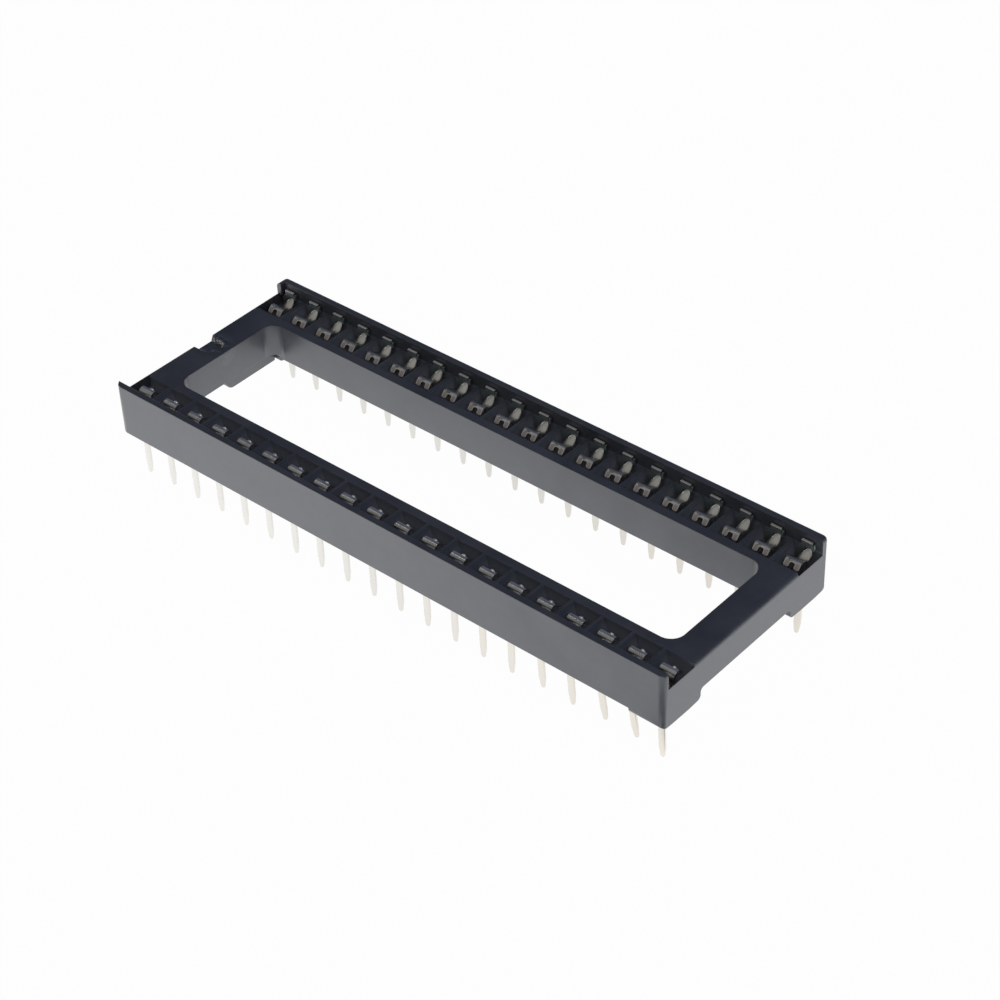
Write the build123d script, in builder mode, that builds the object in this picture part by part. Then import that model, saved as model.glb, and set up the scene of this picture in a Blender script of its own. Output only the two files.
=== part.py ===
from build123d import *
from math import cos, radians, sin, tan
import os

# A 40-way dual-in-line IC socket, 15.24 mm between rows, with dual-leaf contacts. Millimetres.
# The origin is the centre of the tail grid on the board's surface, where the standoffs stand.
# +X runs along the rows away from the index notch, +Y towards the row of contacts 21 to 40, +Z up.

# Tail grid
contacts_per_row = 20
pitch = 2.54
row_spacing = 15.24

# Housing, outside
notch_end_margin = 1.19      # last tail centre to the end face, at the notch end
plain_end_margin = 1.10      # the same at the other end
side_margin = 1.27           # tail centre to the outer side face
corner_radius = 0.45
first_corner_radius = 0.70   # beside contact 1
opposite_corner_radius = 0.12
standoff_height = 0.40       # board to the rails' underside
end_bar_lift = 0.85          # board to the end bars' underside
deck_height = 3.55           # board to the face that the chip's body sits on
wall_top_height = 4.60       # board to the top of the outer side walls
wall_thickness = 0.51
wall_end_radius = 0.35       # rounding of a side wall's top at its ends, but not beside contact 1
end_lug_length = 0.45        # lug inside the far wall's notch end
end_lug_depth = 0.40
plain_end_edge_radius = 0.40

# Window between the rails
notch_bar_width = 2.42
plain_bar_width = 2.23
ledge_thickness = 0.76       # strip between the window and the pockets
window_corner_radius = 1.10
bar_corner_radius = 0.30     # under an end bar, where it meets the rails

# Pockets
pocket_width = 1.86
pocket_depth = 2.70          # across the rail, from ledge to side wall
pocket_floor_thickness = 0.50
funnel_width = 2.29          # pocket mouth, along the row
funnel_height = 1.15
slot_clearance = 0.05        # around a tail, in the floor

# Index notch in the end bar's top
notch_width = 1.90
notch_length = 1.80
notch_depth = 0.45
notch_flank_slope = 25       # degrees from upright

# Corner standoffs, and the seating rib under each end bar
pad_length = 2.85
notch_pad_inset = 0.40       # from the side face, at the notch end; flush at the other end
pad_edge_radius = 0.35       # rounding under a standoff's edges along the row
tail_relief = 0.20           # around a tail, through a standoff
seat_rib_overrun = 0.20      # how far a rib reaches past the bar's middle
seat_rib_thickness = 1.10
seat_rib_recess = 0.10       # behind the window's face
seat_rib_tip_radius = 0.70

# Contact strip
sheet = 0.20
base_clearance = 0.02        # base to the pocket's side walls
wall_clearance = 0.05        # blade to the housing's side wall

# Solder tail
tail_width = 0.54
tail_tip_width = 0.34
tail_length = 3.68           # below the board's surface
tail_taper_length = 0.90
tail_tip_chamfer = 0.10

# Outer blade: places along the row from the tail's centre, heights above the board
blade_top_height = 4.10
neck_inset = 0.19            # neck's edge, in from the right shoulder
shoulder_height = 3.74
shoulder_left_gap = 0.13     # shoulder to the pocket's side wall
shoulder_right_gap = 0.33
ear_width = 0.13
ear_height = 0.24
blade_leg_right = -0.18      # edge of the leg beside the spring leaf

# Outer spring leaf
leaf_left = -0.13
leaf_inset = 0.09            # leaf's right edge, in from the right shoulder
leaf_tip_right = 0.13
leaf_root_height = 3.60
leaf_flank_height = 3.10     # where the right edge starts to draw in
leaf_reach = 0.72            # how far the leaf bulges from the blade towards the lead
leaf_bulge_height = 2.65
leaf_tip_height = 2.00
leaf_tip_reach = 0.52

# Inner spring arm with its rolled top
arm_gap = 0.30               # arm to the pocket's side wall
arm_lean = 10                # degrees, towards the lead as the arm rises
roll_radius = 0.40           # outside
roll_place = -0.82
roll_top_height = 3.45
tine_slope = 50              # degrees down from level
tine_length = 0.42
tine_gap = 0.30

# Tails knocked out of line: contact number to the tip's shift along the row, and its rise
bent_tails = {
    16: (0.20, 0.25),
    17: (0.24, 0.20),
    18: (0.46, 0.46),
    19: (0.52, 0.42),
    20: (0.14, 0),
    21: (-0.14, 0),
}

row_length = (contacts_per_row - 1) * pitch
notch_end = -row_length / 2 - notch_end_margin
plain_end = row_length / 2 + plain_end_margin
housing_length = plain_end - notch_end
half_width = row_spacing / 2 + side_margin
wall_inner = half_width - wall_thickness
pocket_inner = wall_inner - pocket_depth
window_half_width = pocket_inner - ledge_thickness
window_start = notch_end + notch_bar_width
window_end = plain_end - plain_bar_width
pocket_floor = standoff_height + pocket_floor_thickness
blade_place = wall_inner - wall_clearance - sheet / 2 - row_spacing / 2
base_place = pocket_floor + sheet / 2
base_half_width = pocket_width / 2 - base_clearance
shoulder_left = pocket_width / 2 - shoulder_left_gap
shoulder_right = pocket_width / 2 - shoulder_right_gap
neck_half_width = shoulder_right - neck_inset
leaf_right = shoulder_right - leaf_inset
arm_width = pocket_width - 2 * arm_gap
roll_centre_radius = roll_radius - sheet / 2
roll_height = roll_top_height - roll_radius
lean = radians(arm_lean)
arm_top = roll_place + roll_centre_radius * cos(lean)
arm_top_height = roll_height - roll_centre_radius * sin(lean)
arm_foot = arm_top - (arm_top_height - base_place) * tan(lean)


def rectangle_between(x_low, x_high, y_low, y_high, mode=Mode.ADD):
    """A sketch rectangle given by its edges, inside an open BuildSketch."""
    with Locations(((x_low + x_high) / 2, (y_low + y_high) / 2)):
        return Rectangle(x_high - x_low, y_high - y_low, mode=mode)


# The housing's plan
with BuildSketch() as plan:
    rectangle_between(notch_end, plain_end, -half_width, half_width)
    first_corner = (notch_end, -half_width, 0)
    fillet(plan.vertices().sort_by_distance(first_corner)[1:3], corner_radius)
    fillet(plan.vertices().sort_by_distance(first_corner)[0], first_corner_radius)
    fillet(plan.vertices().sort_by_distance(first_corner)[-1], opposite_corner_radius)

# Corner standoffs: set in from the sides at the notch end, flush at the other
with BuildPart() as standoffs:
    pads = ((notch_end, half_width - notch_pad_inset), (plain_end - pad_length, half_width))
    for pad_start, pad_outer in pads:
        with BuildSketch(Plane.YZ.offset(pad_start)) as profile:
            rectangle_between(-pad_outer, pad_outer, 0, standoff_height)
            rectangle_between(-window_half_width, window_half_width, 0, standoff_height, Mode.SUBTRACT)
            fillet(profile.vertices().group_by(Axis.Y)[0], pad_edge_radius)
        extrude(amount=pad_length)
    with BuildSketch():
        add(plan.sketch)
    extrude(amount=standoff_height, mode=Mode.INTERSECT)

with BuildPart() as housing:
    # Block, up to the top of the side walls, in two halves for their rounded ends
    for side, first_rounded in ((1, 0), (-1, 1)):
        with BuildSketch(Plane.XZ) as elevation:
            rectangle_between(notch_end, plain_end, standoff_height, wall_top_height)
            upper_corners = elevation.vertices().group_by(Axis.Y)[-1].sort_by(Axis.X)
            fillet(upper_corners[first_rounded:], wall_end_radius)
        extrude(amount=-side * half_width)
    with BuildSketch():
        add(plan.sketch)
    extrude(amount=wall_top_height, mode=Mode.INTERSECT)

    # Deck between the side walls, open at both ends
    with BuildSketch(Plane.XY.offset(deck_height)):
        rectangle_between(notch_end, plain_end, -wall_inner, wall_inner)
    extrude(amount=wall_top_height - deck_height, mode=Mode.SUBTRACT)

    # Rounded top edge at the plain end
    cross_edges = housing.edges().filter_by(Axis.Y)
    deck_end_edges = cross_edges.filter_by_position(Axis.Z, deck_height, deck_height)
    fillet(deck_end_edges.sort_by(Axis.X)[-1], plain_end_edge_radius)

    # Lug inside the far side wall's notch end, rounded with it
    with BuildSketch(Plane.XZ.offset(end_lug_depth - wall_inner)) as lug:
        rectangle_between(notch_end, notch_end + end_lug_length, deck_height, wall_top_height)
        lug_corner = (notch_end, wall_top_height, 0)
        fillet(lug.vertices().sort_by_distance(lug_corner)[0], wall_end_radius)
    extrude(amount=-end_lug_depth)

    # Window between the rails
    with BuildSketch(Plane.XY.offset(standoff_height)) as window:
        rectangle_between(window_start, window_end, -window_half_width, window_half_width)
        fillet(window.vertices(), window_corner_radius)
    extrude(amount=deck_height - standoff_height, mode=Mode.SUBTRACT)

    # The end bars stand clear of the board between the rails
    with BuildSketch(Plane.YZ.offset(notch_end)) as bar_gap:
        rectangle_between(-window_half_width, window_half_width, 0, end_bar_lift)
        fillet(bar_gap.vertices().group_by(Axis.Y)[-1], bar_corner_radius)
    extrude(amount=housing_length, mode=Mode.SUBTRACT)

    # Seating rib under each end bar, from a standoff to just past the middle, with a round tip
    for window_face, outward in ((window_start, -1), (window_end, 1)):
        rib_tip = outward * seat_rib_overrun
        rib_root = -outward * window_half_width
        with BuildSketch(Plane.YZ.offset(window_face + outward * seat_rib_recess)) as rib:
            rectangle_between(min(rib_root, rib_tip), max(rib_root, rib_tip), 0, end_bar_lift)
            fillet(rib.vertices().sort_by_distance((rib_tip, 0, 0))[0], seat_rib_tip_radius)
        extrude(amount=outward * seat_rib_thickness)
    add(standoffs.part)

    # Pockets: straight below, flared at the mouth as a lead-in
    funnel_start = deck_height - funnel_height
    pocket_profile = (
        (-pocket_width / 2, pocket_floor),
        (pocket_width / 2, pocket_floor),
        (pocket_width / 2, funnel_start),
        (funnel_width / 2, deck_height),
        (-funnel_width / 2, deck_height),
        (-pocket_width / 2, funnel_start),
    )
    for side in (1, -1):
        with BuildSketch(Plane.XZ.offset(side * pocket_inner)):
            with GridLocations(pitch, 0, contacts_per_row, 1):
                Polygon(*pocket_profile, align=None)
        extrude(amount=side * pocket_depth, mode=Mode.SUBTRACT)

    # Tail slots through the pocket floors, wider through the standoffs under the end pockets
    slot_levels = ((standoff_height, pocket_floor, slot_clearance), (0, standoff_height, tail_relief))
    for slot_bottom, slot_top, clearance in slot_levels:
        with BuildSketch(Plane.XY.offset(slot_bottom)):
            with GridLocations(pitch, row_spacing, contacts_per_row, 2):
                Rectangle(tail_width + 2 * clearance, sheet + 2 * clearance)
        extrude(amount=slot_top - slot_bottom, mode=Mode.SUBTRACT)

    # Index notch: a shallow recess with sloping flanks and a round inner end, open to the end face
    notch_centre = notch_end + notch_length - notch_width / 2
    with BuildSketch(Plane.XY.offset(deck_height)):
        rectangle_between(notch_end - notch_width, notch_centre, -notch_width / 2, notch_width / 2)
        with Locations((notch_centre, 0)):
            Circle(notch_width / 2)
    extrude(amount=-notch_depth, taper=notch_flank_slope, mode=Mode.SUBTRACT)

housing.part.label = "housing"


def tail_outline(shift, rise):
    """The tail seen along Y, with its tip shifted along the row and raised, as in a knocked tail."""
    root_half = tail_width / 2
    tip_half = tail_tip_width / 2
    end_half = tip_half - tail_tip_chamfer
    tip = rise - tail_length
    taper_start = tip + tail_taper_length
    taper_shift = shift * taper_start / tip
    with BuildSketch() as outline:
        Polygon(
            (shift - end_half, tip),
            (shift + end_half, tip),
            (shift + tip_half, tip + tail_tip_chamfer),
            (taper_shift + root_half, taper_start),
            (root_half, 0),
            (root_half, base_place),
            (-root_half, base_place),
            (-root_half, 0),
            (taper_shift - root_half, taper_start),
            (shift - tip_half, tip + tail_tip_chamfer),
            align=None,
        )
    return outline.sketch


# The outer blade seen along Y: neck, sloping left shoulder, ear, and the leg beside the leaf
ear_left = shoulder_right - ear_width
shoulder_slope = shoulder_left - neck_half_width
leaf_opening_top = leaf_root_height - sheet / 2
with BuildSketch() as blade_outline:
    Polygon(
        (-neck_half_width, blade_top_height),
        (neck_half_width, blade_top_height),
        (neck_half_width, shoulder_height),
        (ear_left, shoulder_height),
        (ear_left, shoulder_height + ear_height),
        (shoulder_right, shoulder_height + ear_height),
        (shoulder_right, leaf_opening_top),
        (blade_leg_right, leaf_opening_top),
        (blade_leg_right, pocket_floor),
        (-shoulder_left, pocket_floor),
        (-shoulder_left, shoulder_height - shoulder_slope),
        (-neck_half_width, shoulder_height),
        align=None,
    )

# The spring leaf seen along Y: broad at its root, drawn in to a narrow tip
leaf_cut_top = leaf_root_height + sheet
leaf_cut_bottom = leaf_tip_height - sheet
with BuildSketch() as leaf_outline:
    Polygon(
        (leaf_tip_right, leaf_cut_bottom),
        (leaf_left, leaf_cut_bottom),
        (leaf_left, leaf_cut_top),
        (leaf_right, leaf_cut_top),
        (leaf_right, leaf_flank_height),
        align=None,
    )

# The leaf seen along the row, folded in towards the lead and back, then cut to that outline
with BuildPart() as leaf:
    with BuildSketch(Plane.YZ.offset(leaf_left)):
        with BuildLine():
            Polyline(
                (blade_place, leaf_root_height),
                (blade_place - leaf_reach, leaf_bulge_height),
                (blade_place - leaf_tip_reach, leaf_tip_height),
            )
        trace(line_width=sheet)
    extrude(amount=leaf_right - leaf_left)
    with BuildSketch(Plane.XZ.offset(-row_spacing)):
        add(leaf_outline.sketch)
    extrude(amount=2 * row_spacing, mode=Mode.INTERSECT)


def make_contact(shift, rise):
    """One contact, standing at the origin with its outer side towards +Y."""
    tail = tail_outline(shift, rise)
    with BuildPart() as contact:
        # Tail, down through the floor
        with BuildSketch(Plane.XZ):
            add(tail)
        extrude(amount=sheet / 2, both=True)

        # Base on the pocket floor, as wide as the pocket
        with BuildSketch(Plane.XY.offset(pocket_floor)):
            rectangle_between(-base_half_width, base_half_width, arm_foot, blade_place)
        extrude(amount=sheet)

        # Outer blade and its spring leaf
        with BuildSketch(Plane.XZ.offset(-blade_place)):
            add(blade_outline.sketch)
        extrude(amount=sheet / 2, both=True)
        add(leaf.part)

        # Inner arm with its top rolled over towards the window
        with BuildSketch(Plane.YZ):
            with BuildLine():
                arm = Line((arm_foot, base_place), (arm_top, arm_top_height))
                roll = JernArc(arm @ 1, arm % 1, roll_centre_radius, 90 + arm_lean + tine_slope)
                Line(roll @ 1, roll @ 1 + (roll % 1) * tine_length)
            trace(line_width=sheet)
        extrude(amount=arm_width / 2, both=True)

        # Slot that splits the front of the roll into two tines
        slot_end = roll_place - roll_radius * sin(radians(tine_slope))
        with BuildSketch(Plane.XY.offset(roll_height - roll_radius)):
            rectangle_between(-tine_gap / 2, tine_gap / 2, slot_end - tine_length, slot_end)
        extrude(amount=2 * roll_radius, mode=Mode.SUBTRACT)
    return contact.part


os.makedirs("parts", exist_ok=True)
export_step(housing.part, "parts/housing.step")

shapes = {}
for column in range(contacts_per_row):
    for side, number in ((-1, column + 1), (1, 2 * contacts_per_row - column)):
        shift, rise = bent_tails.get(number, (0, 0))
        bend = (side * shift, rise)
        if bend not in shapes:
            shapes[bend] = make_contact(*bend)
        turn = 0 if side > 0 else 180
        place = Location((column * pitch - row_length / 2, side * row_spacing / 2, 0), (0, 0, turn))
        piece = shapes[bend].moved(place)
        piece.label = f"contact_{number:02d}"
        export_step(piece, f"parts/{piece.label}.step")
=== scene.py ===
"""Studio scene of a 40-way dual-in-line IC socket: moulded housing and forty stamped contacts."""

import logging
import math
from collections.abc import Callable
from dataclasses import dataclass
from enum import Enum

import bmesh
import bpy
from mathutils import Matrix, Vector

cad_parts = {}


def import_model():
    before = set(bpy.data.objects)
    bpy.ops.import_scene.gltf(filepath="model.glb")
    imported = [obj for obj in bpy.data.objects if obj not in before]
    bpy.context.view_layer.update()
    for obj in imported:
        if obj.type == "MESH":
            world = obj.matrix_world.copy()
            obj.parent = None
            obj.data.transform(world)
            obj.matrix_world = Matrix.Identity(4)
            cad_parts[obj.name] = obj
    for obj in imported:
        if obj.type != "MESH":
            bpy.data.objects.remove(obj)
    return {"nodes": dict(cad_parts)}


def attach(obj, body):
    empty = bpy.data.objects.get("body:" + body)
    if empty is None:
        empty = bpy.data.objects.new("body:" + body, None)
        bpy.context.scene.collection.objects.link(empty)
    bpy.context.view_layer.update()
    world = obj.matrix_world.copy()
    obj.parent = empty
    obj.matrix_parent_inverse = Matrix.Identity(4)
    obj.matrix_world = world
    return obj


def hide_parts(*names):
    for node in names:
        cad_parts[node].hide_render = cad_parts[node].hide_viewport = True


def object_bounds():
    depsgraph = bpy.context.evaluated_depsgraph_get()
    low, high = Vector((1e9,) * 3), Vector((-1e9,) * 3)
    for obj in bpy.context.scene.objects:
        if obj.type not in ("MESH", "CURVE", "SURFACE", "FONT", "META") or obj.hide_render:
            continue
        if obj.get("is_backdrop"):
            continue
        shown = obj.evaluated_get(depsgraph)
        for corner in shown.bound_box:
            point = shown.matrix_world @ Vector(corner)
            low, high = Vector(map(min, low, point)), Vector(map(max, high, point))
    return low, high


LOG = logging.getLogger("socket")
MM = 0.001
WELD = 1e-5  # points closer than this, in a mesh that is being shaped in mm, are one

# The Mix node's sockets go by number: its factor, A and B for numbers and for colours, and the
# output that holds a mixed colour.
FACTOR = 0
NUMBER_A, NUMBER_B = 2, 3
COLOUR_A, COLOUR_B = 6, 7
MIXED_COLOUR = 2

Point = tuple[float, float, float]
Pair = tuple[float, float]


# ---------------------------------------------------------------- shading helpers


def linear(hex_colour: str) -> tuple[float, float, float, float]:
    """Turn an sRGB colour into the linear one that Blender's sockets take.

    Args:
        hex_colour: Colour as "#rrggbb".

    Returns:
        Linear red, green and blue with a full alpha.
    """
    parts = [int(hex_colour[i : i + 2], 16) / 255 for i in (1, 3, 5)]
    red, green, blue = (c / 12.92 if c <= 0.04045 else ((c + 0.055) / 1.055) ** 2.4 for c in parts)
    return red, green, blue, 1.0


def add_node(
    tree: bpy.types.NodeTree, kind: str, settings: dict | None = None, links: dict | None = None
) -> bpy.types.Node:
    """Add one node with its settings and the links that feed it.

    Args:
        tree: Node tree that takes the node.
        kind: The node's bl_idname.
        settings: Values by attribute name, or by the input's name or number.
        links: Output sockets by the name or number of the input that they feed.

    Returns:
        The new node.
    """
    node = tree.nodes.new(kind)
    for key, value in (settings or {}).items():
        if isinstance(key, str) and hasattr(node, key):
            setattr(node, key, value)
        else:
            node.inputs[key].default_value = value
    for key, source in (links or {}).items():
        tree.links.new(source, node.inputs[key])
    return node


def new_material(name: str) -> tuple[bpy.types.Material, bpy.types.NodeTree]:
    """Make an empty node material.

    Args:
        name: Name of the material.

    Returns:
        The material and its node tree.
    """
    material = bpy.data.materials.new(name)
    material.use_nodes = True
    material.node_tree.nodes.clear()
    return material, material.node_tree


def set_ramp(ramp: bpy.types.ShaderNodeValToRGB, stops: list[tuple[float, tuple]]) -> None:
    """Give a colour ramp its stops.

    Args:
        ramp: The colour ramp node.
        stops: Places from 0 to 1 and their linear colours, at least two.
    """
    elements = ramp.color_ramp.elements
    while len(elements) < len(stops):
        elements.new(1.0)
    for element, (place, colour) in zip(elements, stops):
        element.position = place
        element.color = colour


def box_mask(
    tree: bpy.types.NodeTree, sides: list[tuple[bpy.types.NodeSocket, float, float, float]]
) -> bpy.types.NodeSocket:
    """Mark the inside of a box.

    Args:
        tree: The material's node tree.
        sides: One coordinate at a time, with the box's middle on it and the distances from that
            middle at which the mask ends and at which it is full, in mm.

    Returns:
        A socket that is 1 inside the box and 0 elsewhere.
    """
    mask = None
    for source, middle, ending, full in sides:
        offset = add_node(
            tree, "ShaderNodeMath", {"operation": "SUBTRACT", 1: middle * MM}, {0: source}
        )
        size = add_node(tree, "ShaderNodeMath", {"operation": "ABSOLUTE"}, {0: offset.outputs[0]})
        ramp = {"From Min": ending * MM, "From Max": full * MM}
        near = add_node(tree, "ShaderNodeMapRange", ramp, {"Value": size.outputs[0]}).outputs[0]
        if mask is None:
            mask = near
        else:
            mask = add_node(
                tree, "ShaderNodeMath", {"operation": "MULTIPLY"}, {0: mask, 1: near}
            ).outputs[0]
    return mask


# ---------------------------------------------------------------- finishes


@dataclass(frozen=True)
class MouldedPolyester:
    """Glass-filled black polyester, injection moulded in a spark-eroded tool.

    It reads as a satin near-black with a cool sheen, very fine grain and soft flow mottling.
    """

    dark: str = "#383b42"
    light: str = "#4b4d54"
    index: float = 1.60
    mottle_mm: float = 4.0  # soft flow marks
    mottle_span: Pair = (0.30, 0.70)  # noise levels that the mottling runs between
    roughness: Pair = (0.30, 0.42)
    grain_mm: float = 0.10  # real glass grit is about 0.02 mm; drawn coarser so that it shows
    grain_strength: float = 0.12
    grain_relief: float = 0.01 * MM
    scar_place: Point = (-24.3 * MM, 0.0, 3.3 * MM)
    scar_reach: float = 1.7 * MM  # glossy drag marks round the index notch
    scar_core: float = 0.5  # share of the reach in which the marks are full
    scar_mm: float = 0.45
    scar_relief: float = 0.16 * MM
    scar_roughness: float = 0.14
    # the pockets' two colours are painted light: paler than the outside, palest at their floors
    pocket_painted_light: str = "#6a707d"
    pocket_bottom_painted_light: str = "#b2b5bd"
    pocket_light_fade: Pair = (3.3, 2.2)  # heights in mm over which the pockets' painted light grows paler downwards
    pocket_box: tuple[Pair, ...] = ((7.03, 1.41), (2.0, 1.5), (0.0, 25.10))  # see painted_pocket_light_mask
    pocket_soft: float = 0.03  # half of the width of the box's soft border, in mm

    def build(self) -> bpy.types.Material:
        """Build the material.

        Returns:
            The material of the housing.
        """
        material, tree = new_material("moulded_black_polyester")
        place = add_node(tree, "ShaderNodeTexCoord").outputs["Object"]
        mottle = add_node(
            tree,
            "ShaderNodeTexNoise",
            {"Scale": 1 / (self.mottle_mm * MM), "Detail": 3.0, "Roughness": 0.6},
            {"Vector": place},
        )
        grain = add_node(
            tree,
            "ShaderNodeTexNoise",
            {"Scale": 1 / (self.grain_mm * MM), "Detail": 2.0, "Roughness": 0.7},
            {"Vector": place},
        )
        colour = add_node(tree, "ShaderNodeValToRGB", {}, {"Fac": mottle.outputs["Fac"]})
        darkest, lightest = self.mottle_span
        set_ramp(colour, [(darkest, linear(self.dark)), (lightest, linear(self.light))])
        gloss = add_node(
            tree,
            "ShaderNodeMapRange",
            {
                "From Min": darkest,
                "From Max": lightest,
                "To Min": self.roughness[0],
                "To Max": self.roughness[1],
            },
            {"Value": mottle.outputs["Fac"]},
        )
        bump = add_node(
            tree,
            "ShaderNodeBump",
            {"Strength": self.grain_strength, "Distance": self.grain_relief},
            {"Height": grain.outputs["Fac"]},
        )
        centre = add_node(
            tree, "ShaderNodeVectorMath", {"operation": "DISTANCE", 1: self.scar_place}, {0: place}
        )
        scarred = add_node(
            tree,
            "ShaderNodeMapRange",
            {"From Min": self.scar_reach, "From Max": self.scar_core * self.scar_reach},
            {"Value": centre.outputs["Value"]},
        )
        ripple = add_node(
            tree,
            "ShaderNodeTexNoise",
            {"Scale": 1 / (self.scar_mm * MM), "Detail": 1.0, "Roughness": 0.4},
            {"Vector": place},
        )
        rippled = add_node(
            tree,
            "ShaderNodeMath",
            {"operation": "MULTIPLY"},
            {0: ripple.outputs["Fac"], 1: scarred.outputs["Result"]},
        )
        scar = add_node(
            tree,
            "ShaderNodeBump",
            {"Strength": 1.0, "Distance": self.scar_relief},
            {"Height": rippled.outputs["Value"], "Normal": bump.outputs["Normal"]},
        )
        polish = add_node(
            tree,
            "ShaderNodeMix",
            {"data_type": "FLOAT", NUMBER_B: self.scar_roughness},
            {FACTOR: scarred.outputs["Result"], NUMBER_A: gloss.outputs["Result"]},
        )
        # the pockets take a painted light, paler towards their floors
        inside = self.painted_pocket_light_mask(tree, place)
        height = add_node(tree, "ShaderNodeSeparateXYZ", {}, {0: place})
        fading, faded = self.pocket_light_fade
        depth = add_node(
            tree,
            "ShaderNodeMapRange",
            {"From Min": fading * MM, "From Max": faded * MM},
            {"Value": height.outputs["Z"]},
        )
        painted_pocket_light = add_node(
            tree,
            "ShaderNodeMix",
            {
                "data_type": "RGBA",
                COLOUR_A: linear(self.pocket_painted_light),
                COLOUR_B: linear(self.pocket_bottom_painted_light),
            },
            {FACTOR: depth.outputs["Result"]},
        )
        body = add_node(
            tree,
            "ShaderNodeMix",
            {"data_type": "RGBA"},
            {
                FACTOR: inside,
                COLOUR_A: colour.outputs["Color"],
                COLOUR_B: painted_pocket_light.outputs[MIXED_COLOUR],
            },
        )
        shader = add_node(
            tree,
            "ShaderNodeBsdfPrincipled",
            {"IOR": self.index},
            {
                "Base Color": body.outputs[MIXED_COLOUR],
                "Roughness": polish.outputs[0],
                "Normal": scar.outputs["Normal"],
            },
        )
        add_node(tree, "ShaderNodeOutputMaterial", {}, {"Surface": shader.outputs["BSDF"]})
        return material

    def painted_pocket_light_mask(
        self, tree: bpy.types.NodeTree, place: bpy.types.NodeSocket
    ) -> bpy.types.NodeSocket:
        """Mark the pockets, whose walls and floors are painted paler than the outside: painted
        light.

        The box's middles and half sizes are given outwards, upwards and along the rows.

        Args:
            tree: The material's node tree.
            place: Object coordinates.

        Returns:
            A socket that is 1 inside the pockets and 0 elsewhere.
        """
        axes = add_node(tree, "ShaderNodeSeparateXYZ", {}, {0: place}).outputs
        out = add_node(tree, "ShaderNodeMath", {"operation": "ABSOLUTE"}, {0: axes["Y"]})
        sources = (out.outputs[0], axes["Z"], axes["X"])
        sides = [
            (source, middle, half + self.pocket_soft, half - self.pocket_soft)
            for source, (middle, half) in zip(sources, self.pocket_box)
        ]
        return box_mask(tree, sides)


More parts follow.
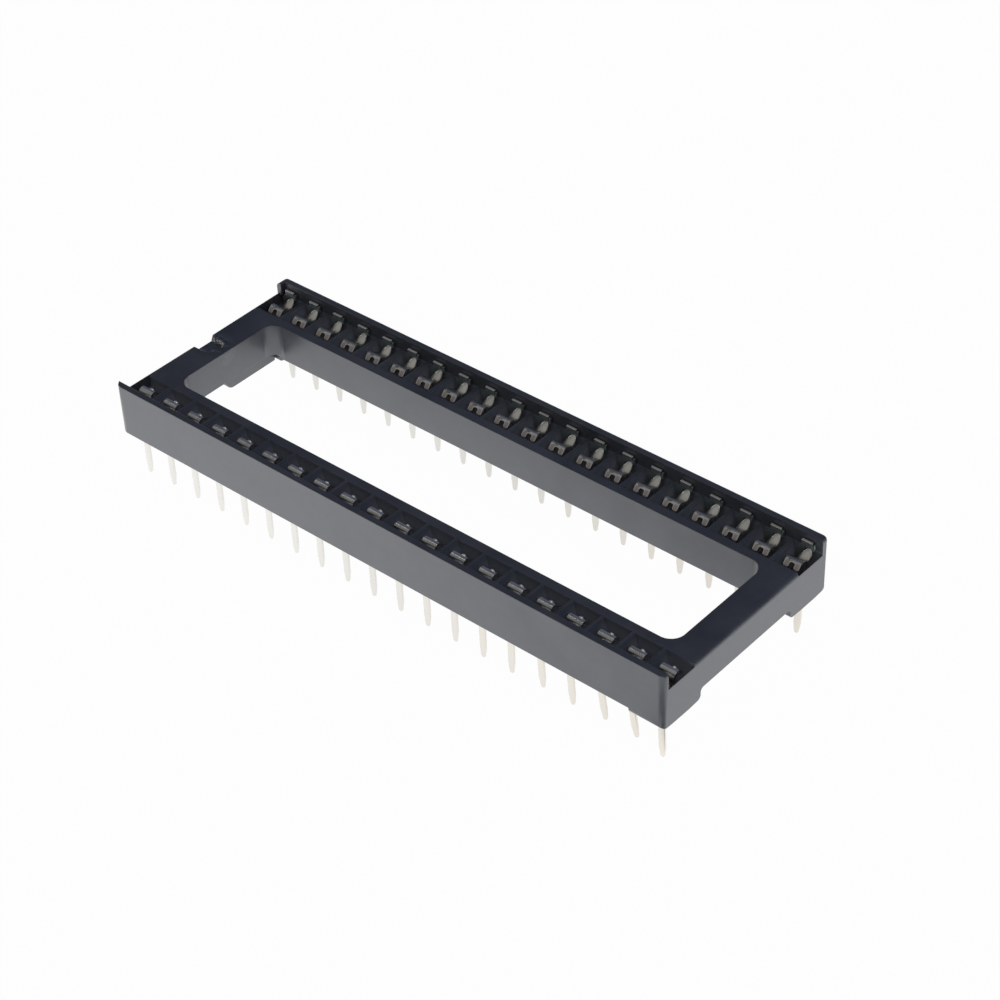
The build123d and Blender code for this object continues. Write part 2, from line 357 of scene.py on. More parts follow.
@dataclass(frozen=True)
class TinPlate:
    """Matte-bright tin plate over stamped copper alloy strip.

    It reads as a soft silver-grey metal with a faint cream cast, cloudy in its gloss.
    """

    bright: str = "#d0cec7"
    dull: str = "#c3c0b8"
    cloud_mm: float = 0.8  # cloudy patches in the plating
    cloud_stops: Pair = (0.35, 0.60)
    gloss_span: Pair = (0.3, 0.7)
    roughness: Pair = (0.27, 0.31)
    blade_roughness: float = 0.55
    # the middle of each tine's face, drawn darker and browner
    tine_middle_tone: str = "#a49a98"
    # the outer blade, drawn darker and cooler than the rest of the strip: painted shade
    blade: str = "#98a09f"
    top_edge_highlight: str = "#e4e3e0"  # the blade's top edge, drawn paler: painted highlight
    # the tails, drawn darker than the rest of the strip: painted shade
    tail: str = "#bcbab6"
    tail_end_painted_light: str = "#d0cbc2"  # the tails near the plain end, drawn paler: painted light
    # Each band is where a shade starts and where it is full, in mm.
    blade_band: Pair = (8.00, 8.08)  # outwards
    highlight_band: Pair = (4.04, 4.07)  # upwards
    tail_band: Pair = (0.3, -0.1)  # downwards
    end_band: Pair = (-2.0, 22.0)  # towards the plain end
    row_half: float = 24.13  # from the middle of a row to its last contact, in mm
    pitch_half: float = 1.27
    tine_box: tuple[Pair, ...] = ((0.41, 0.19), (6.40, 0.20), (3.20, 0.35))  # see tine_mask
    tine_core: float = 0.65  # share of the box in which a tine's darker middle is full

    def build(self) -> bpy.types.Material:
        """Build the material.

        Returns:
            The material of the contacts.
        """
        material, tree = new_material("tin_plated_strip")
        place = add_node(tree, "ShaderNodeTexCoord").outputs["Object"]
        cloud = add_node(
            tree,
            "ShaderNodeTexNoise",
            {"Scale": 1 / (self.cloud_mm * MM), "Detail": 1.0, "Roughness": 0.5},
            {"Vector": place},
        )
        colour = add_node(tree, "ShaderNodeValToRGB", {}, {"Fac": cloud.outputs["Fac"]})
        dullest, brightest = self.cloud_stops
        set_ramp(colour, [(dullest, linear(self.dull)), (brightest, linear(self.bright))])
        gloss = add_node(
            tree,
            "ShaderNodeMapRange",
            {
                "From Min": self.gloss_span[0],
                "From Max": self.gloss_span[1],
                "To Min": self.roughness[0],
                "To Max": self.roughness[1],
            },
            {"Value": cloud.outputs["Fac"]},
        )
        axes = add_node(tree, "ShaderNodeSeparateXYZ", {}, {0: place}).outputs
        out = add_node(tree, "ShaderNodeMath", {"operation": "ABSOLUTE"}, {0: axes["Y"]})
        blade, edge, below, plain_end = (
            add_node(
                tree,
                "ShaderNodeMapRange",
                {"From Min": start * MM, "From Max": full * MM},
                {"Value": source},
            ).outputs["Result"]
            for source, (start, full) in (
                (out.outputs[0], self.blade_band),
                (axes["Z"], self.highlight_band),
                (axes["Z"], self.tail_band),
                (axes["X"], self.end_band),
            )
        )
        dulled = add_node(
            tree,
            "ShaderNodeMix",
            {"data_type": "FLOAT", NUMBER_B: self.blade_roughness},
            {FACTOR: blade, NUMBER_A: gloss.outputs["Result"]},
        )
        end_tails = add_node(
            tree, "ShaderNodeMath", {"operation": "MULTIPLY"}, {0: below, 1: plain_end}
        )
        tinted = colour.outputs["Color"]
        # painted shade on the blade and tails, a painted highlight on the top edge, painted light
        # on the tails near the plain end
        for mask, shade in (
            (self.tine_mask(tree, place), self.tine_middle_tone),
            (blade, self.blade),
            (edge, self.top_edge_highlight),
            (below, self.tail),
            (end_tails.outputs["Value"], self.tail_end_painted_light),
        ):
            tinted = add_node(
                tree,
                "ShaderNodeMix",
                {"data_type": "RGBA", COLOUR_B: linear(shade)},
                {FACTOR: mask, COLOUR_A: tinted},
            ).outputs[MIXED_COLOUR]
        shader = add_node(
            tree,
            "ShaderNodeBsdfPrincipled",
            {"Metallic": 1.0},
            {"Base Color": tinted, "Roughness": dulled.outputs[0]},
        )
        add_node(tree, "ShaderNodeOutputMaterial", {}, {"Surface": shader.outputs["BSDF"]})
        return material

    def tine_mask(
        self, tree: bpy.types.NodeTree, place: bpy.types.NodeSocket
    ) -> bpy.types.NodeSocket:
        """Mark the middle of each tine's face, which is drawn darker and browner.

        The box's middles and half sizes are given from the contact's centre along the row,
        outwards and upwards.

        Args:
            tree: The material's node tree.
            place: Object coordinates.

        Returns:
            A socket that is 1 on the rubbed spots and 0 elsewhere.
        """
        axes = add_node(tree, "ShaderNodeSeparateXYZ", {}, {0: place}).outputs
        shifted = add_node(
            tree, "ShaderNodeMath", {"operation": "ADD", 1: self.row_half * MM}, {0: axes["X"]}
        )
        along = add_node(
            tree,
            "ShaderNodeMath",
            {"operation": "PINGPONG", 1: self.pitch_half * MM},
            {0: shifted.outputs[0]},
        )
        out = add_node(tree, "ShaderNodeMath", {"operation": "ABSOLUTE"}, {0: axes["Y"]})
        sources = (along.outputs[0], out.outputs[0], axes["Z"])
        sides = [
            (source, middle, half, self.tine_core * half)
            for source, (middle, half) in zip(sources, self.tine_box)
        ]
        return box_mask(tree, sides)


@dataclass(frozen=True)
class StudioPaper:
    """White seamless paper over a light table, smooth and evenly lit.

    It reads as plain white with a faint shadow. Reflections see a painted glow in it, brighter
    towards the notch end, with a painted shadow off the near corner and a fainter one from the
    window on. Places and reaches are in metres.
    """

    colour: str = "#efefef"
    glow_share: float = 0.98  # how much of what is seen is plain white, the rest keeps the shadow
    glow: float = 1.0
    painted_glow_peak: float = 1.72  # painted glow that reflections see over the notch end
    painted_glow_span: Pair = (-0.040, 0.060)
    # Places along the span, and shares of the peak.
    painted_glow_shares: tuple[Pair, ...] = ((0.30, 1.0), (0.62, 0.76), (0.69, 0.92), (1.0, 0.92))
    reflected_shadow_place: Point = (0.0295, -0.0148, -0.0037)  # painted shadow in the glow that reflections see, off the near corner
    reflected_shadow_reach: float = 0.0093
    reflected_shadow_core: float = 0.7  # share of the reach in which the painted shadow is full
    window_shadow_share: float = 0.90  # how much of the glow is left in the painted shadow from under the window on
    window_shadow_span: Pair = (-0.008, -0.004)

    def build(self) -> bpy.types.Material:
        """Build the material.

        Returns:
            The material of the floor.
        """
        material, tree = new_material("white_paper")
        path = add_node(tree, "ShaderNodeLightPath").outputs
        place = add_node(tree, "ShaderNodeTexCoord").outputs["Object"]
        along = add_node(tree, "ShaderNodeSeparateXYZ", {}, {0: place})
        # the painted glow that reflections see, brighter towards the notch end
        reach = add_node(
            tree,
            "ShaderNodeMapRange",
            {"From Min": self.painted_glow_span[0], "From Max": self.painted_glow_span[1]},
            {"Value": along.outputs["X"]},
        )
        shares = add_node(tree, "ShaderNodeValToRGB", {}, {"Fac": reach.outputs["Result"]})
        set_ramp(shares, [(at, (share, share, share, 1.0)) for at, share in self.painted_glow_shares])
        peak = add_node(
            tree,
            "ShaderNodeMath",
            {"operation": "MULTIPLY", 1: self.painted_glow_peak},
            {0: shares.outputs["Color"]},
        )
        # a painted shadow in the reflected glow, off the near corner
        reflected_shadow = add_node(
            tree, "ShaderNodeVectorMath", {"operation": "DISTANCE", 1: self.reflected_shadow_place}, {0: place}
        )
        unshadowed = add_node(
            tree,
            "ShaderNodeMapRange",
            {"From Min": self.reflected_shadow_core * self.reflected_shadow_reach, "From Max": self.reflected_shadow_reach},
            {"Value": reflected_shadow.outputs["Value"]},
        )
        painted_glow = add_node(
            tree,
            "ShaderNodeMath",
            {"operation": "MULTIPLY"},
            {0: peak.outputs["Value"], 1: unshadowed.outputs["Result"]},
        )
        # a fainter painted shadow in the reflected glow, from under the window on
        window_shadow = add_node(
            tree,
            "ShaderNodeMapRange",
            {
                "From Min": self.window_shadow_span[0],
                "From Max": self.window_shadow_span[1],
                "To Min": 1.0,
                "To Max": self.window_shadow_share,
            },
            {"Value": along.outputs["Y"]},
        )
        # the painted glow with its painted shadows
        table = add_node(
            tree,
            "ShaderNodeMath",
            {"operation": "MULTIPLY"},
            {0: painted_glow.outputs["Value"], 1: window_shadow.outputs["Result"]},
        )
        seen = add_node(
            tree,
            "ShaderNodeMath",
            {"operation": "MAXIMUM"},
            {0: path["Is Camera Ray"], 1: path["Is Glossy Ray"]},
        )
        share = add_node(
            tree,
            "ShaderNodeMath",
            {"operation": "MULTIPLY", 1: self.glow_share},
            {0: seen.outputs["Value"]},
        )
        strength = add_node(
            tree,
            "ShaderNodeMix",
            {"data_type": "FLOAT", NUMBER_A: self.glow},
            {FACTOR: path["Is Glossy Ray"], NUMBER_B: table.outputs["Value"]},
        )
        paper = add_node(tree, "ShaderNodeBsdfDiffuse", {"Color": linear(self.colour)})
        glow = add_node(tree, "ShaderNodeEmission", {}, {"Strength": strength.outputs[0]})
        mix = add_node(
            tree,
            "ShaderNodeMixShader",
            {},
            {FACTOR: share.outputs["Value"], 1: paper.outputs["BSDF"], 2: glow.outputs["Emission"]},
        )
        add_node(tree, "ShaderNodeOutputMaterial", {}, {"Surface": mix.outputs["Shader"]})
        return material


# ---------------------------------------------------------------- modelling helpers


def deselect_all() -> None:
    """Leave nothing selected and no object active."""
    for thing in bpy.context.selected_objects:
        thing.select_set(False)
    bpy.context.view_layer.objects.active = None


def select_only(piece: bpy.types.Object) -> None:
    """Select one object alone and make it the active one.

    Args:
        piece: Object to select.
    """
    deselect_all()
    piece.select_set(True)
    bpy.context.view_layer.objects.active = piece


def choose_points(piece: bpy.types.Object, test: Callable[[Vector], bool]) -> None:
    """Select the vertices whose places pass a test, with what lies between them.

    Args:
        piece: Object in edit mode.
        test: Takes a vertex's place.
    """
    bpy.ops.mesh.select_mode(type="VERT")
    bpy.ops.mesh.select_all(action="DESELECT")
    shape = bmesh.from_edit_mesh(piece.data)
    for vertex in shape.verts:
        vertex.select = test(vertex.co)
    shape.select_flush_mode()
    bmesh.update_edit_mesh(piece.data)


def choose_edges(piece: bpy.types.Object, test: Callable[[Vector], bool]) -> None:
    """Select the edges whose middles pass a test.

    Args:
        piece: Object in edit mode.
        test: Takes the place of an edge's middle.
    """
    bpy.ops.mesh.select_mode(type="EDGE")
    bpy.ops.mesh.select_all(action="DESELECT")
    shape = bmesh.from_edit_mesh(piece.data)
    for edge in shape.edges:
        if test((edge.verts[0].co + edge.verts[1].co) / 2):
            edge.select_set(True)
    bmesh.update_edit_mesh(piece.data)


def extrude_by(step: Point) -> None:
    """Extrude what is selected and move it by a step."""
    bpy.ops.mesh.extrude_region_move(TRANSFORM_OT_translate={"value": step})


def add_modifier(piece: bpy.types.Object, kind: str, **settings: object) -> None:
    """Add a modifier with its settings and apply it.

    Args:
        piece: Object that takes it.
        kind: The modifier's type name.
        settings: Values by attribute name.
    """
    select_only(piece)
    modifier = piece.modifiers.new(kind.lower(), kind)
    for key, value in settings.items():
        setattr(modifier, key, value)
    bpy.ops.object.modifier_apply(modifier=modifier.name)


def face_outwards(piece: bpy.types.Object) -> None:
    """Merge a piece's doubles, then turn its normals outwards. It stays selected.

    Args:
        piece: Closed mesh in mm.
    """
    select_only(piece)
    bpy.ops.object.mode_set(mode="EDIT")
    bpy.ops.mesh.select_all(action="SELECT")
    bpy.ops.mesh.remove_doubles(threshold=WELD)
    bpy.ops.mesh.normals_make_consistent(inside=False)
    bpy.ops.object.mode_set(mode="OBJECT")


# ---------------------------------------------------------------- contacts


class Edges(Enum):
    """How the edges of a stamped part come out."""

    EASED = "sheared, with a small radius"
    ROUNDED = "rounded all over"


class Row(Enum):
    """The two rows of contacts, and the side of the socket that each is on."""

    NEAR = -1
    FAR = 1


@dataclass(frozen=True)
class Station:
    """One place along a strip in mm: middle and half width along the row, outward place, height."""

    middle: float
    half: float
    out: float
    up: float


def sweep_strip(name: str, columns: int, stations: list[Station]) -> bpy.types.Object:
    """Extrude a row of edges through stations, as strip is bent, and stay in edit mode.

    Args:
        name: Name of the new object.
        columns: Cells across the strip.
        stations: Places in order.

    Returns:
        The open sheet, with its last row selected.
    """
    deselect_all()
    first = stations[0]
    bpy.ops.mesh.primitive_grid_add(
        x_subdivisions=columns,
        y_subdivisions=1,
        size=2 * first.half,
        location=(first.middle, first.out + first.half, first.up),
    )
    strip = bpy.context.object
    strip.name = name
    bpy.ops.object.transform_apply(location=True, rotation=False, scale=False)
    bpy.ops.object.mode_set(mode="EDIT")
    choose_points(strip, lambda place: place.y > first.out + first.half)
    bpy.ops.mesh.delete(type="VERT")
    bpy.ops.mesh.select_all(action="SELECT")
    for last, station in zip(stations, stations[1:]):
        extrude_by((station.middle - last.middle, station.out - last.out, station.up - last.up))
        bpy.ops.transform.resize(
            value=(station.half / last.half, 1, 1),
            center_override=(station.middle, station.out, station.up),
        )
    return strip


@dataclass
class Contact:
    """One dual-leaf contact, stamped from one strip: tail, base, blade, leaf and rolled arm.

    Sizes are in mm. It is built standing at the origin with its outer side towards +Y.
    """

    sheet: float = 0.20
    base_up: float = 1.00
    base_half: float = 0.91
    base_out: float = 0.61
    arm_half: float = 0.63
    arm_foot: float = -0.877
    arm_top: Pair = (-0.525, 2.998)
    arm_cells: int = 5
    roll_centre: Pair = (-0.82, 3.05)
    roll_angle: float = 120.0  # the even part of the roll, up to just past its crest
    roll_steps: int = 8
    lip_radius: float = 0.09  # the tighter bend where the crest turns down into the tines
    lip_angle: float = 26.0
    lip_steps: int = 3
    tine_inner: float = 0.10
    lip_length: float = 0.08
    tine_length: float = 0.40
    tine_steps: tuple[Point, ...] = (  # share of the length, narrowing, and where it narrows to
        (0.20, 0.84, 0.63),
        (0.60, 0.97, 0.42),
        (0.20, 0.60, 0.42),
    )
    bead_place: Point = (-0.25, -1.00, 3.42)
    bead_size: Point = (0.18, 0.12, 0.055)
    bead_turn: Point = (-0.34, -0.29, 0.0)
    leaf_stations: tuple[Station, ...] = (
        Station(0.25, 0.14, 0.58, 3.62),
        Station(0.22, 0.32, 0.40, 3.40),
        Station(0.14, 0.50, 0.11, 3.03),
        Station(0.00, 0.46, -0.12, 2.72),
        Station(-0.17, 0.32, -0.28, 2.44),
        Station(-0.34, 0.12, -0.38, 2.18),
    )
    leaf_cup: Point = (0, -0.12, 0.05)  # how its middle stands proud, towards the lead
    blade_out: float = 0.58
    neck_steps: Point = (0.59, 0.06, 0.13)  # to the ear's far side, and the horn's two sides
    ear_rise: float = 0.36
    horn_rise: float = 0.24
    tail_half: float = 0.27
    tail_tip_half: float = 0.17
    tail_length: float = 3.68
    tail_taper: float = 0.90
    tip_steps: tuple[Pair, ...] = ((0.16, 1.0), (0.05, 0.80), (0.0, 0.45))  # height, share of width
    smoothing: int = 2
    ease: float = 0.05
    ease_segments: int = 2
    ease_from: float = 0.9  # edges that turn by more than this, in radians, are eased
    smooth_angle: float = 50.0
    close: float = 0.001  # a point this near to a computed place is at that place
    same_station: float = 0.02  # and this near to a station's middle, it is that middle

    def arm(self) -> bpy.types.Object:
        """Bend the base and arm, roll its top over and split the roll's front into tines.

        Returns:
            The open sheet.
        """
        foot, base = self.arm_foot, self.base_up
        top_out, top_up = self.arm_top
        stations = [
            Station(0, self.base_half, self.base_out, base),  # base
            Station(0, self.base_half, -0.60, base),
            Station(0, self.arm_half, -0.83, base + 0.01),  # bend
            Station(0, self.arm_half, foot + 0.02, base + 0.10),
            Station(0, self.arm_half, foot + 0.12, base + 0.75),  # arm, leaning outwards
            Station(0, self.arm_half, (foot + top_out) / 2 + 0.03, 2.2),
            Station(0, self.arm_half, top_out, top_up),
        ]
        arm = sweep_strip("arm", self.arm_cells, stations)
        centre_out, centre_up = self.roll_centre
        start = math.atan2(top_up - centre_up, top_out - centre_out)
        radius = math.hypot(top_out - centre_out, top_up - centre_up)
        turned = start + math.radians(self.roll_angle)
        lip_centre = (
            centre_out + (radius - self.lip_radius) * math.cos(turned),
            centre_up + (radius - self.lip_radius) * math.sin(turned),
        )
        ending = turned + math.radians(self.lip_angle)
        for steps, angle, centre in (
            (self.roll_steps, self.roll_angle, self.roll_centre),
            (self.lip_steps, self.lip_angle, lip_centre),
        ):
            bpy.ops.mesh.spin(
                steps=steps, angle=math.radians(-angle), center=(0, *centre), axis=(1, 0, 0)
            )
        lip_out = lip_centre[0] + self.lip_radius * math.cos(ending)
        lip_up = lip_centre[1] + self.lip_radius * math.sin(ending)
        along = (-math.sin(ending), math.cos(ending))
        extrude_by((0, self.lip_length * along[0], self.lip_length * along[1]))
        lip_out += self.lip_length * along[0]
        lip_up += self.lip_length * along[1]
        for side in (-1, 1):
            choose_edges(
                arm,
                lambda place: abs(place.y - lip_out) < self.close
                and abs(place.z - lip_up) < self.close
                and side * place.x > self.tine_inner,
            )
            for share, narrowing, pivot in self.tine_steps:
                step = share * self.tine_length
                extrude_by((0, step * along[0], step * along[1]))
                bpy.ops.transform.resize(
                    value=(narrowing, 1, 1), center_override=(side * pivot, 0, 0)
                )
        bpy.ops.object.mode_set(mode="OBJECT")
        return arm

    def bead(self) -> bpy.types.Object:
        """Round the small flat bead that stands on the lip, beside the slot, and catches light.

        Returns:
            The closed bead.
        """
        deselect_all()
        bpy.ops.mesh.primitive_uv_sphere_add(
            segments=20,
            ring_count=10,
            radius=1.0,
            location=self.bead_place,
            rotation=self.bead_turn,
        )
        bead = bpy.context.object
        bead.name = "bead"
        bead.scale = self.bead_size
        bpy.ops.object.transform_apply(location=True, rotation=True, scale=True)
        bpy.ops.object.shade_smooth()
        return bead

    def leaf(self) -> bpy.types.Object:
        """Bend the outer spring leaf, petal-shaped: from the blade's top down towards the lead.

        Returns:
            The open sheet, cupped between its two ends.
        """
        leaf = sweep_strip("leaf", 2, list(self.leaf_stations))
        for station in self.leaf_stations[1:-1]:
            choose_points(
                leaf,
                lambda place: abs(place.x - station.middle) < self.same_station
                and abs(place.z - station.up) < self.same_station,
            )
            bpy.ops.transform.translate(value=self.leaf_cup)
        bpy.ops.object.mode_set(mode="OBJECT")
        return leaf

    def blade(self) -> bpy.types.Object:
        """Extrude the flat outer blade with its sloping shoulder, its ear and the horn beside it.

        Returns:
            The open sheet.
        """
        stations = [
            Station(-0.49, 0.31, self.blade_out, 0.95),
            Station(-0.49, 0.31, self.blade_out, 3.35),
            Station(-0.415, 0.235, self.blade_out, 3.50),
            Station(-0.325, 0.145, self.blade_out, 3.74),
        ]
        blade = sweep_strip("blade", 1, stations)
        # The side of the last cell, then the tops of the first cells, then the top of the last.
        choose_edges(blade, lambda place: place.x > -0.19 and place.z > 3.55)
        for step in self.neck_steps:
            extrude_by((step, 0, 0))
        choose_edges(blade, lambda place: place.z > 3.73 and place.x < 0.42)
        extrude_by((0, 0, self.ear_rise))
        choose_edges(blade, lambda place: place.x > 0.50 and 3.73 < place.z < 3.75)
        extrude_by((0, 0, self.horn_rise))
        bpy.ops.object.mode_set(mode="OBJECT")
        return blade

    def tail(self, shift: float, rise: float) -> bpy.types.Object:
        """Draw the flat solder tail down from the base to its tapered, rounded tip.

        Args:
            shift: How far the tip is knocked along the row.
            rise: How far the tip is knocked upwards.

        Returns:
            The open sheet.
        """
        tip = rise - self.tail_length
        taper = tip + self.tail_taper
        stations = [
            Station(0, self.tail_half, 0, self.base_up),
            Station(0, self.tail_half, 0, 0.0),
            Station(shift * taper / tip, self.tail_half, 0, taper),
        ]
        for height, share in self.tip_steps:
            stations.append(Station(shift, share * self.tail_tip_half, 0, tip + height))
        tail = sweep_strip("tail", 2, stations)
        bpy.ops.object.mode_set(mode="OBJECT")
        return tail

    def thicken(self, piece: bpy.types.Object, edges: Edges) -> None:
        """Give a sheet its thickness and finish its edges.

        Args:
            piece: The open sheet.
            edges: How its edges come out.
        """
        add_modifier(piece, "SOLIDIFY", thickness=self.sheet, offset=0.0, use_even_offset=True)
        if edges is Edges.ROUNDED:
            add_modifier(piece, "SUBSURF", levels=self.smoothing, render_levels=self.smoothing)
        else:
            add_modifier(
                piece,
                "BEVEL",
                width=self.ease,
                segments=self.ease_segments,
                limit_method="ANGLE",
                angle_limit=self.ease_from,
            )
        face_outwards(piece)

    def join(self, whole: bpy.types.Object, part: bpy.types.Object) -> None:
        """Weld a part into the whole and remove its object."""
        add_modifier(whole, "BOOLEAN", operation="UNION", solver="EXACT", object=part)
        bpy.data.objects.remove(part)

    def build(self, shift: float, rise: float) -> bpy.types.Object:
        """Build a whole contact with its tail bent as given.

        Args:
            shift: How far the tail's tip is knocked along the row.
            rise: How far it is knocked upwards.

        Returns:
            The contact, in mm at the origin.
        """
        whole = self.arm()
        self.thicken(whole, Edges.EASED)
        for part, edges in (
            (self.leaf(), Edges.ROUNDED),
            (self.blade(), Edges.EASED),
            (self.tail(shift, rise), Edges.EASED),
        ):
            self.thicken(part, edges)
            self.join(whole, part)
        self.join(whole, self.bead())
        face_outwards(whole)
        bpy.ops.object.shade_smooth_by_angle(angle=math.radians(self.smooth_angle))
        add_modifier(whole, "WEIGHTED_NORMAL", keep_sharp=True)
        return whole


@dataclass
class ContactRows:
    """Forty contacts in two rows, numbered round the socket from the notch end."""

    per_row: int = 20
    pitch: float = 2.54
    row_spacing: float = 15.24
    bent: tuple[tuple[int, float, float], ...] = (  # number, and its tip's shift and rise
        (16, 0.20, 0.25),
        (17, 0.24, 0.20),
        (18, 0.46, 0.46),
        (19, 0.52, 0.42),
        (20, 0.14, 0.0),
        (21, -0.14, 0.0),
    )

    def build(self, finish: bpy.types.Material) -> None:
        """Model each shape of contact once and copy it to its places.

        Args:
            finish: Material of the plated strip.
        """
        knocked = {number: (shift, rise) for number, shift, rise in self.bent}
        shapes: dict[tuple[float, float], bpy.types.Object] = {}
        for column in range(self.per_row):
            for row, number in ((Row.NEAR, column + 1), (Row.FAR, 2 * self.per_row - column)):
                shift, rise = knocked.get(number, (0.0, 0.0))
                bend = (row.value * shift, rise)
                if bend not in shapes:
                    shapes[bend] = Contact().build(*bend)
                self.place(shapes[bend], column, row, number, finish)
        for shape in shapes.values():
            bpy.data.objects.remove(shape)
        LOG.info("contacts: %d placed from %d shapes", 2 * self.per_row, len(shapes))

    def place(
        self,
        shape: bpy.types.Object,
        column: int,
        row: Row,
        number: int,
        finish: bpy.types.Material,
    ) -> None:
        """Copy a contact to its place, with its own mesh.

        Args:
            shape: The contact in mm at the origin.
            column: Place along the row, from 0 at the notch end.
            row: The row that it stands in.
            number: Contact number.
            finish: Material of the plated strip.
        """
        piece = shape.copy()
        piece.data = shape.data.copy()
        piece.name = f"plated_contact_{number:02d}"
        bpy.context.scene.collection.objects.link(piece)
        select_only(piece)
        along = (column - (self.per_row - 1) / 2) * self.pitch
        piece.location = (along * MM, row.value * self.row_spacing / 2 * MM, 0)
        piece.rotation_euler = (0, 0, 0 if row is Row.FAR else math.pi)
        piece.scale = (MM, MM, MM)
        bpy.ops.object.transform_apply(location=True, rotation=True, scale=True)
        piece.data.materials.clear()
        piece.data.materials.append(finish)
        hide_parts(f"contact_{number:02d}")
        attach(piece, "root")
        LOG.info("%s: %d faces", piece.name, len(piece.data.polygons))


# ---------------------------------------------------------------- housing


@dataclass
class Housing:
    """The moulded housing, with the small radius that a moulding tool leaves on each edge."""

    edge: float = 0.06
    segments: int = 2
    flat_angle: float = 1.5  # faces within this many degrees of each other are one face
    sharp_angle: float = 50.0
    shortest: float = 0.02  # no shorter edge takes the radius
    thin_from: float = 24.90  # from here out, the end pockets' lips are too thin for the radius
    pocket_in: float = 5.60
    pocket_out: float = 8.45
    smooth_angle: float = 30.0

    def build(self, node: bpy.types.Object, finish: bpy.types.Material) -> None:
        """Ease the edges of the housing's shape and dress it.

        Args:
            node: The CAD node that it stands for.
            finish: Material of the moulding.
        """
        piece = bpy.data.objects.new("moulded_housing", node.data.copy())
        bpy.context.scene.collection.objects.link(piece)
        self.rescale(piece, 1 / MM)
        face_outwards(piece)
        bpy.ops.object.mode_set(mode="EDIT")
        bpy.ops.mesh.select_all(action="SELECT")
        bpy.ops.mesh.dissolve_limited(angle_limit=math.radians(self.flat_angle))
        self.choose_corners(piece)
        bpy.ops.mesh.bevel(
            offset=self.edge, segments=self.segments, affect="EDGES", clamp_overlap=False
        )
        bpy.ops.object.mode_set(mode="OBJECT")
        self.rescale(piece, MM)
        bpy.ops.object.shade_smooth_by_angle(angle=math.radians(self.smooth_angle))
        add_modifier(piece, "WEIGHTED_NORMAL", keep_sharp=True)
        piece.data.materials.clear()
        piece.data.materials.append(finish)
        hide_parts("housing")
        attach(piece, "root")
        LOG.info("%s: %d faces", piece.name, len(piece.data.polygons))

    def choose_corners(self, piece: bpy.types.Object) -> None:
        """Select the sharp outer corners that are thick enough to take the radius.

        Args:
            piece: The housing in mm, in edit mode.
        """
        bpy.ops.mesh.select_mode(type="EDGE")
        bpy.ops.mesh.select_all(action="DESELECT")
        shape = bmesh.from_edit_mesh(piece.data)
        for edge in shape.edges:
            middle = (edge.verts[0].co + edge.verts[1].co) / 2
            over_pocket = self.pocket_in < abs(middle.y) < self.pocket_out
            thin = abs(middle.x) > self.thin_from and over_pocket
            sharp = edge.is_convex and edge.calc_face_angle() > math.radians(self.sharp_angle)
            if sharp and not thin and edge.calc_length() > self.shortest:
                edge.select_set(True)
        bmesh.update_edit_mesh(piece.data)

    def rescale(self, piece: bpy.types.Object, factor: float) -> None:
        """Scale a piece about the origin, in its mesh.

        Args:
            piece: The piece.
            factor: How many times larger it becomes.
        """
        select_only(piece)
        piece.scale = (factor, factor, factor)
        bpy.ops.object.transform_apply(location=False, rotation=False, scale=True)


# ---------------------------------------------------------------- studio


def direction(azimuth: float, elevation: float) -> Vector:
    """Turn two angles in degrees into a direction of length 1.

    Args:
        azimuth: Angle round the socket, from its near side towards its plain end.
        elevation: Angle above the floor.

    Returns:
        The direction, from the socket outwards.
    """
    around, above = math.radians(azimuth), math.radians(elevation)
    return Vector(
        (
            math.sin(around) * math.cos(above),
            -math.cos(around) * math.cos(above),
            math.sin(above),
        )
    )


@dataclass(frozen=True)
class Lamp:
    """A square soft white lamp aimed at the socket, with its size and distance in metres."""

    name: str
    azimuth: float
    elevation: float
    size: float
    power: float
    distance: float = 0.6

    def build(self, aim: Vector) -> None:
        """Place the lamp round the aim point.

        Args:
            aim: Point that the lamp faces.
        """
        back = direction(self.azimuth, self.elevation)
        data = bpy.data.lights.new(self.name, "AREA")
        data.size = self.size
        data.energy = self.power
        lamp = bpy.data.objects.new(self.name, data)
        lamp.location = aim + back * self.distance
        lamp.rotation_mode = "QUATERNION"
        lamp.rotation_quaternion = (-back).to_track_quat("-Z", "Y")
        bpy.context.scene.collection.objects.link(lamp)


@dataclass
class Camera:
    """The still camera, given by where it aims and the angles it looks from."""

    aim: Point = (2.068 * MM, 2.21 * MM, 0.40 * MM)
    azimuth: float = 42.084
    elevation: float = 38.592
    roll: float = -2.313
    distance: float = 177.688 * MM
    lens: float = 90.4
    sensor: float = 36.0
    nearest: float = 10 * MM

    def build(self) -> None:
        """Make the camera, place it and make it the scene's own."""
        roll = math.radians(self.roll)
        back = direction(self.azimuth, self.elevation)
        level = Vector((0, 0, 1)).cross(back).normalized()
        upright = back.cross(level)
        right = level * math.cos(roll) + upright * math.sin(roll)
        above = upright * math.cos(roll) - level * math.sin(roll)
        data = bpy.data.cameras.new("camera")
        data.lens = self.lens
        data.sensor_width = self.sensor
        data.clip_start = self.nearest
        camera = bpy.data.objects.new("camera", data)
        turn = Matrix((right, above, back)).transposed().to_4x4()
        camera.matrix_world = Matrix.Translation(Vector(self.aim) + back * self.distance) @ turn
        bpy.context.scene.collection.objects.link(camera)
        bpy.context.scene.camera = camera


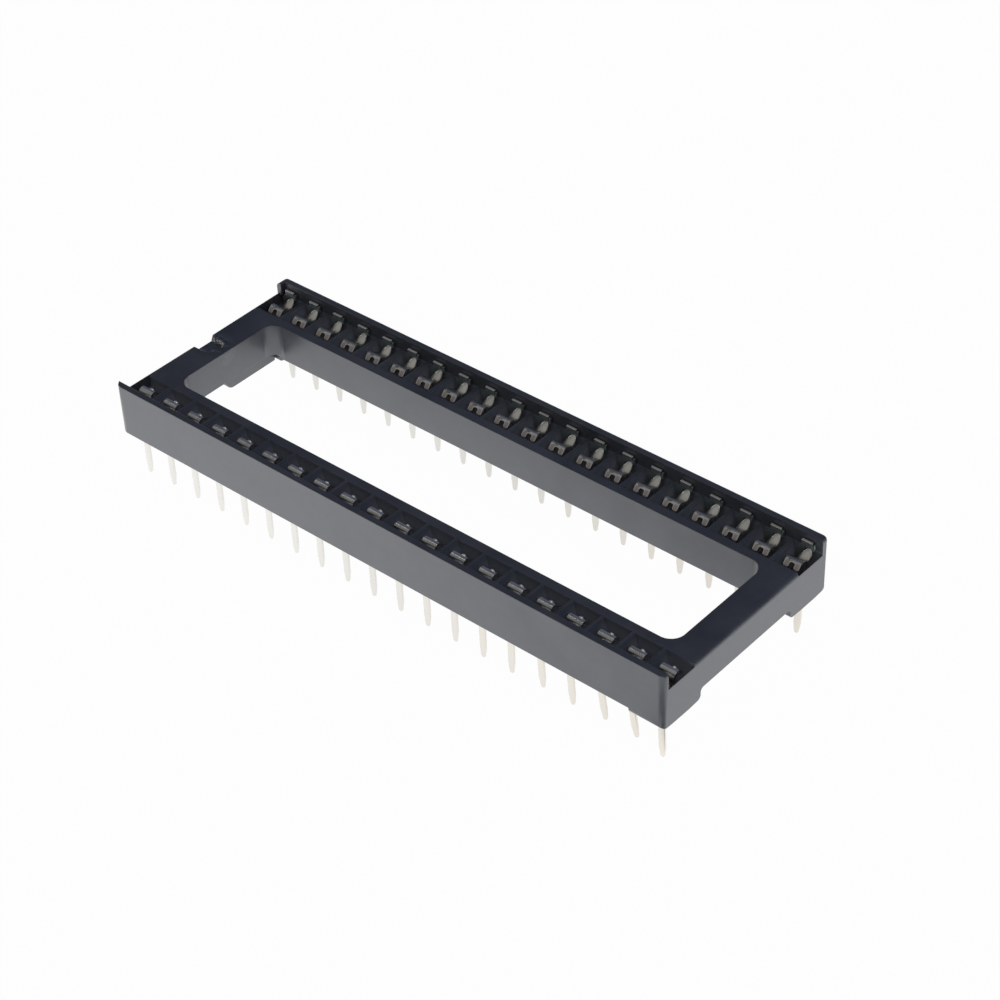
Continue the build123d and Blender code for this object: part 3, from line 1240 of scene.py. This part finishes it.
@dataclass
class Studio:
    """White paper floor over a light table, dim cool room and soft lamps."""

    floor_half: float = 4.0
    room_span: Pair = (-0.75, 0.69)  # from the near side's direction to the far side's
    room_stops: tuple[tuple[float, str], ...] = (
        (0.0, "#a2a2a1"),  # near wall
        (0.458, "#5d5d63"),  # middle of the room
        (0.833, "#474d60"),  # far wall
        (0.868, "#474d60"),
        (1.0, "#68738e"),  # the end of the room behind it
    )
    room_strength: float = 1.0
    table_size: float = 0.30
    table_glow: float = 1.5
    table_shift: float = -0.06
    table_lift: float = 0.05 * MM  # the lamp lies this far above the paper
    lamps: tuple[Lamp, ...] = (
        Lamp("overhead", azimuth=0, elevation=88, size=0.26, power=0.28),
        Lamp("ridge", azimuth=-94, elevation=58, size=0.08, power=0.04),
        Lamp("left_rim", azimuth=-95, elevation=12, size=0.15, power=0.14),
        Lamp("right_rim", azimuth=90, elevation=38, size=0.12, power=0.12),
        Lamp("left_spark", azimuth=-97, elevation=34, size=0.03, power=0.05),
        Lamp("right_spark", azimuth=66, elevation=58, size=0.03, power=0.05),
    )

    def floor(self, height: float) -> None:
        """Lay the paper.

        Args:
            height: Height of the surface that the tails stand on.
        """
        bpy.ops.mesh.primitive_grid_add(
            x_subdivisions=8, y_subdivisions=8, size=2 * self.floor_half, location=(0, 0, height)
        )
        floor = bpy.context.object
        floor.name = "floor"
        floor.data.materials.append(StudioPaper().build())
        floor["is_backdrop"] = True

    def table(self, height: float) -> None:
        """Add the light table's soft light from below, unseen by the camera and by reflections.

        Args:
            height: Height of the paper.
        """
        data = bpy.data.lights.new("light_table", "AREA")
        data.size = self.table_size
        data.energy = self.table_glow * math.pi * self.table_size**2
        table = bpy.data.objects.new("light_table", data)
        table.location = (self.table_shift, 0, height + self.table_lift)
        table.rotation_euler = (math.pi, 0, 0)
        table.visible_camera = False
        table.visible_glossy = False
        bpy.context.scene.collection.objects.link(table)

    def room(self) -> None:
        """Build the world: white to the camera, dim and cool to everything else."""
        world = bpy.data.worlds.new("room")
        world.use_nodes = True
        tree = world.node_tree
        tree.nodes.clear()
        path = add_node(tree, "ShaderNodeLightPath").outputs
        facing = add_node(tree, "ShaderNodeTexCoord").outputs["Generated"]
        across = add_node(tree, "ShaderNodeSeparateXYZ", {}, {0: facing})
        walls = add_node(
            tree,
            "ShaderNodeMapRange",
            {"From Min": self.room_span[0], "From Max": self.room_span[1]},
            {"Value": across.outputs["Y"]},
        )
        colour = add_node(tree, "ShaderNodeValToRGB", {}, {"Fac": walls.outputs["Result"]})
        set_ramp(colour, [(at, linear(shade)) for at, shade in self.room_stops])
        dim = add_node(
            tree,
            "ShaderNodeBackground",
            {"Strength": self.room_strength},
            {"Color": colour.outputs["Color"]},
        )
        white = add_node(tree, "ShaderNodeBackground", {"Color": (1, 1, 1, 1), "Strength": 1.0})
        mix = add_node(
            tree,
            "ShaderNodeMixShader",
            {},
            {
                FACTOR: path["Is Camera Ray"],
                1: dim.outputs["Background"],
                2: white.outputs["Background"],
            },
        )
        add_node(tree, "ShaderNodeOutputWorld", {}, {"Surface": mix.outputs["Shader"]})
        bpy.context.scene.world = world

    def build(self, lowest: float) -> None:
        """Set up floor, table, room and lamps.

        Args:
            lowest: Height of the tails' tips.
        """
        self.floor(lowest)
        self.table(lowest)
        self.room()
        aim = Vector((0, 0, 0))
        for lamp in self.lamps:
            lamp.build(aim)
        view = bpy.context.scene.view_settings
        view.view_transform = "Standard"


def main() -> None:
    """Load the frame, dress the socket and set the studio."""
    logging.basicConfig(level=logging.INFO, format="%(name)s: %(message)s")
    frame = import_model()
    cad_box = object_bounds()
    deselect_all()
    plastic = MouldedPolyester().build()
    tin = TinPlate().build()
    for name, node in frame["nodes"].items():
        node.data.materials.clear()
        node.data.materials.append(plastic if name == "housing" else tin)
    Housing().build(frame["nodes"]["housing"], plastic)
    ContactRows().build(tin)
    Camera().build()
    Studio().build(cad_box[0].z)


if __name__ == "__main__":
    main()
